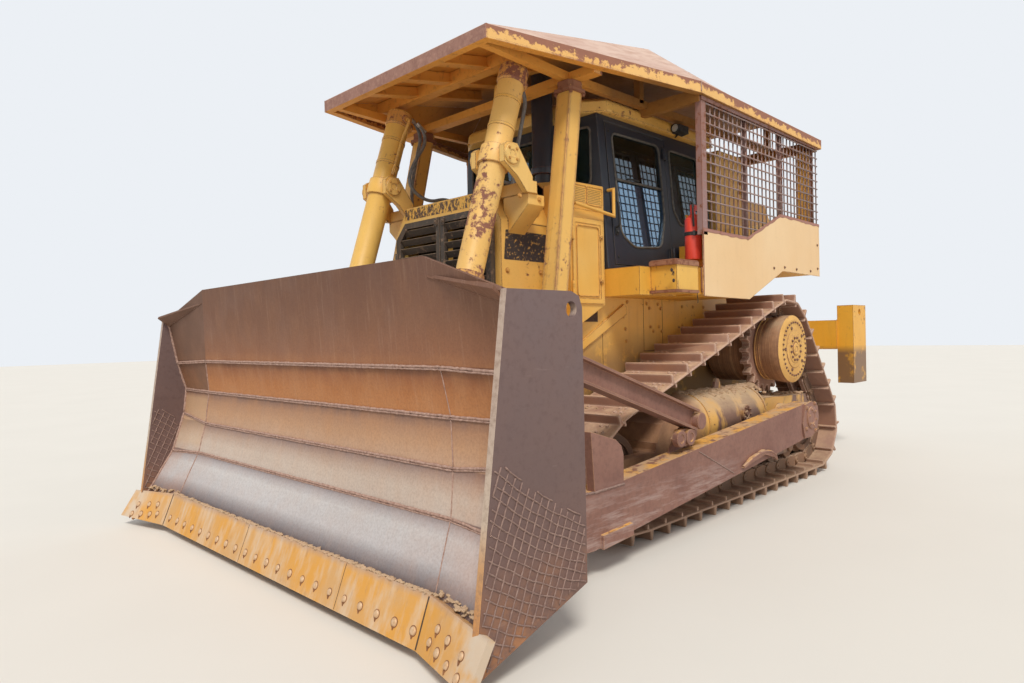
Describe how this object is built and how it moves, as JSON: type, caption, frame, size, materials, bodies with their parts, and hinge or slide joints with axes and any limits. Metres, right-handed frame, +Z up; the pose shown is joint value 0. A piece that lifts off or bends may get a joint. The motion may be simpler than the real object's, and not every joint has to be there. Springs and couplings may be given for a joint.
{
  "type": "crawler bulldozer",
  "caption": "Tracked bulldozer with raised sprockets, winged straight blade on push arms, ripper beam, cab and mesh-sided canopy.",
  "frame": {"origin": "on the ground under the middle of the machine's length and width", "axes": "+X forward, towards the blade; +Y to the machine's left; +Z up"},
  "size_m": [8.09, 4.48, 3.98],
  "materials": {
    "body_paint": "sun-faded yellow paint with rusty chips",
    "canopy_paint": "worn yellow paint over rust",
    "mesh_rust": "rusty bars",
    "cab_paint": "black paint, dusty",
    "stack_paint": "heat-dulled black",
    "core_paint": "dusty black",
    "frame_steel": "brown dust over yellow paint",
    "track_steel": "dusty brown steel",
    "engine_iron": "oily iron",
    "board_steel": "rusty above, polished grey below",
    "edge_steel": "orange rust",
    "ram_chrome": "bright ram",
    "window_glass": "dark tinted",
    "red_paint": "sun-faded red paint",
    "lamp_black": "black housing, dusty",
    "seat_fabric": "dark grey woven"
  },
  "bodies": {
    "tractor": {"track_left": "track_steel", "track_right": "track_steel", "sprockets": "track_steel", "final_drives": "frame_steel", "idlers": "track_steel", "rollers": "track_steel", "track_frames": "frame_steel", "cross_shafts": "frame_steel", "main_frame": "body_paint", "engine_block": "engine_iron", "radiator_guard": "body_paint", "radiator_core": "core_paint", "hood": "body_paint", "side_boxes": "body_paint", "exhaust_stack": "stack_paint", "cab_shell": "cab_paint", "cab_glass": "window_glass", "cab_roof": "body_paint", "operator_seat": "seat_fabric", "fenders": "body_paint", "fuel_tank": "body_paint", "guard_panels": "body_paint", "mesh_guards": "mesh_rust", "canopy_roof": "canopy_paint", "canopy_posts": "canopy_paint", "lift_yokes": "body_paint", "ripper_bracket": "body_paint", "handrails": "body_paint", "work_lamps": "lamp_black", "extinguisher_bracket": "body_paint", "fire_extinguisher": "red_paint"},
    "blade": {"mouldboard": "board_steel", "blade_end_plates": "board_steel", "cutting_edges": "edge_steel", "push_arms": "frame_steel", "braces": "frame_steel"},
    "lift_barrel_left": {"lift_barrel_left": "body_paint"},
    "lift_barrel_right": {"lift_barrel_right": "body_paint"},
    "lift_rod_left": {"lift_rod_left": "ram_chrome"},
    "lift_rod_right": {"lift_rod_right": "ram_chrome"},
    "ripper_links": {"ripper_links": "body_paint"},
    "ripper_tilt_links": {"ripper_tilt_links": "body_paint"},
    "ripper_beam": {"ripper_beam": "body_paint", "shank_pockets": "body_paint"},
    "ripper_lift_barrels": {"ripper_lift_barrels": "body_paint"},
    "ripper_lift_rods": {"ripper_lift_rods": "ram_chrome"},
    "cab_door_left": {"cab_door_left": "cab_paint", "door_glass_left": "window_glass"},
    "cab_door_right": {"cab_door_right": "cab_paint", "door_glass_right": "window_glass"},
    "grille_door_left": {"grille_door_left": "body_paint"},
    "grille_door_right": {"grille_door_right": "body_paint"},
    "engine_door_left": {"engine_door_left": "body_paint"},
    "engine_door_right": {"engine_door_right": "body_paint"}
  },
  "joints": [
    {"name": "blade_lift", "type": "hinge", "parent": "tractor", "child": "blade", "pos_m": [-0.945, 0, 0.7], "axis": [0, -1, 0], "range_deg": [-7, 15]},
    {"name": "lift_barrel_left_tilt", "type": "hinge", "parent": "tractor", "child": "lift_barrel_left", "pos_m": [2.348, 0.717, 2.85], "axis": [0, -1, 0], "range_deg": [-3.82, 7.84]},
    {"name": "lift_rod_left_stroke", "type": "slide", "parent": "lift_barrel_left", "child": "lift_rod_left", "axis": [-0.3043, 0, 0.9526], "range_m": [-0.4719, 1.0066]},
    {"name": "lift_barrel_right_tilt", "type": "hinge", "parent": "tractor", "child": "lift_barrel_right", "pos_m": [2.348, -0.717, 2.85], "axis": [0, -1, 0], "range_deg": [-3.82, 7.84]},
    {"name": "lift_rod_right_stroke", "type": "slide", "parent": "lift_barrel_right", "child": "lift_rod_right", "axis": [-0.3043, 0, 0.9526], "range_m": [-0.4719, 1.0066]},
    {"name": "ripper_lift", "type": "hinge", "parent": "tractor", "child": "ripper_links", "pos_m": [-2.105, 0, 0.95], "axis": [0, -1, 0], "range_deg": [0, 34]},
    {"name": "ripper_beam_level", "type": "hinge", "parent": "ripper_links", "child": "ripper_beam", "pos_m": [-3.475, 0, 1.22], "axis": [0, -1, 0], "range_deg": [-34.3, 0.3]},
    {"name": "ripper_tilt_links_swing", "type": "hinge", "parent": "tractor", "child": "ripper_tilt_links", "pos_m": [-2.105, 0, 1.65], "axis": [0, -1, 0], "range_deg": [-0.3, 34.3]},
    {"name": "ripper_barrels_tilt", "type": "hinge", "parent": "tractor", "child": "ripper_lift_barrels", "pos_m": [-2.035, 0, 1.56], "axis": [0, -1, 0], "range_deg": [-0.3, 26.82]},
    {"name": "ripper_rods_stroke", "type": "slide", "parent": "ripper_lift_barrels", "child": "ripper_lift_rods", "axis": [-0.9788, 0, -0.2048], "range_m": [-0.004, 0.322]},
    {"name": "cab_door_left_swing", "type": "hinge", "parent": "tractor", "child": "cab_door_left", "pos_m": [0.251, 0.92, 2.09], "axis": [0, -0.0761, 0.9971], "range_deg": [0, 40]},
    {"name": "grille_door_left_swing", "type": "hinge", "parent": "tractor", "child": "grille_door_left", "pos_m": [2.29, 0.594, 1.9], "axis": [0, 0, 1], "range_deg": [0, 90]},
    {"name": "engine_door_left_swing", "type": "hinge", "parent": "tractor", "child": "engine_door_left", "pos_m": [1.675, 0.88, 2.1], "axis": [0, 0, -1], "range_deg": [0, 90]},
    {"name": "cab_door_right_swing", "type": "hinge", "parent": "tractor", "child": "cab_door_right", "pos_m": [0.251, -0.92, 2.09], "axis": [0, -0.0761, -0.9971], "range_deg": [0, 40]},
    {"name": "grille_door_right_swing", "type": "hinge", "parent": "tractor", "child": "grille_door_right", "pos_m": [2.29, -0.594, 1.9], "axis": [0, 0, -1], "range_deg": [0, 90]},
    {"name": "engine_door_right_swing", "type": "hinge", "parent": "tractor", "child": "engine_door_right", "pos_m": [1.675, -0.88, 2.1], "axis": [0, 0, 1], "range_deg": [0, 90]}
  ],
  "couplings": [
    {"joint": "lift_barrel_left_tilt", "follows": "blade_lift", "ratio": 0.50291},
    {"joint": "lift_rod_left_stroke", "follows": "blade_lift", "m_per_rad": 3.8297},
    {"joint": "lift_barrel_right_tilt", "follows": "blade_lift", "ratio": 0.50291},
    {"joint": "lift_rod_right_stroke", "follows": "blade_lift", "m_per_rad": 3.8297},
    {"joint": "ripper_beam_level", "follows": "ripper_lift", "ratio": -1},
    {"joint": "ripper_tilt_links_swing", "follows": "ripper_lift", "ratio": 1},
    {"joint": "ripper_barrels_tilt", "follows": "ripper_lift", "ratio": 0.77996},
    {"joint": "ripper_rods_stroke", "follows": "ripper_lift", "m_per_rad": 0.53581}
  ]
}
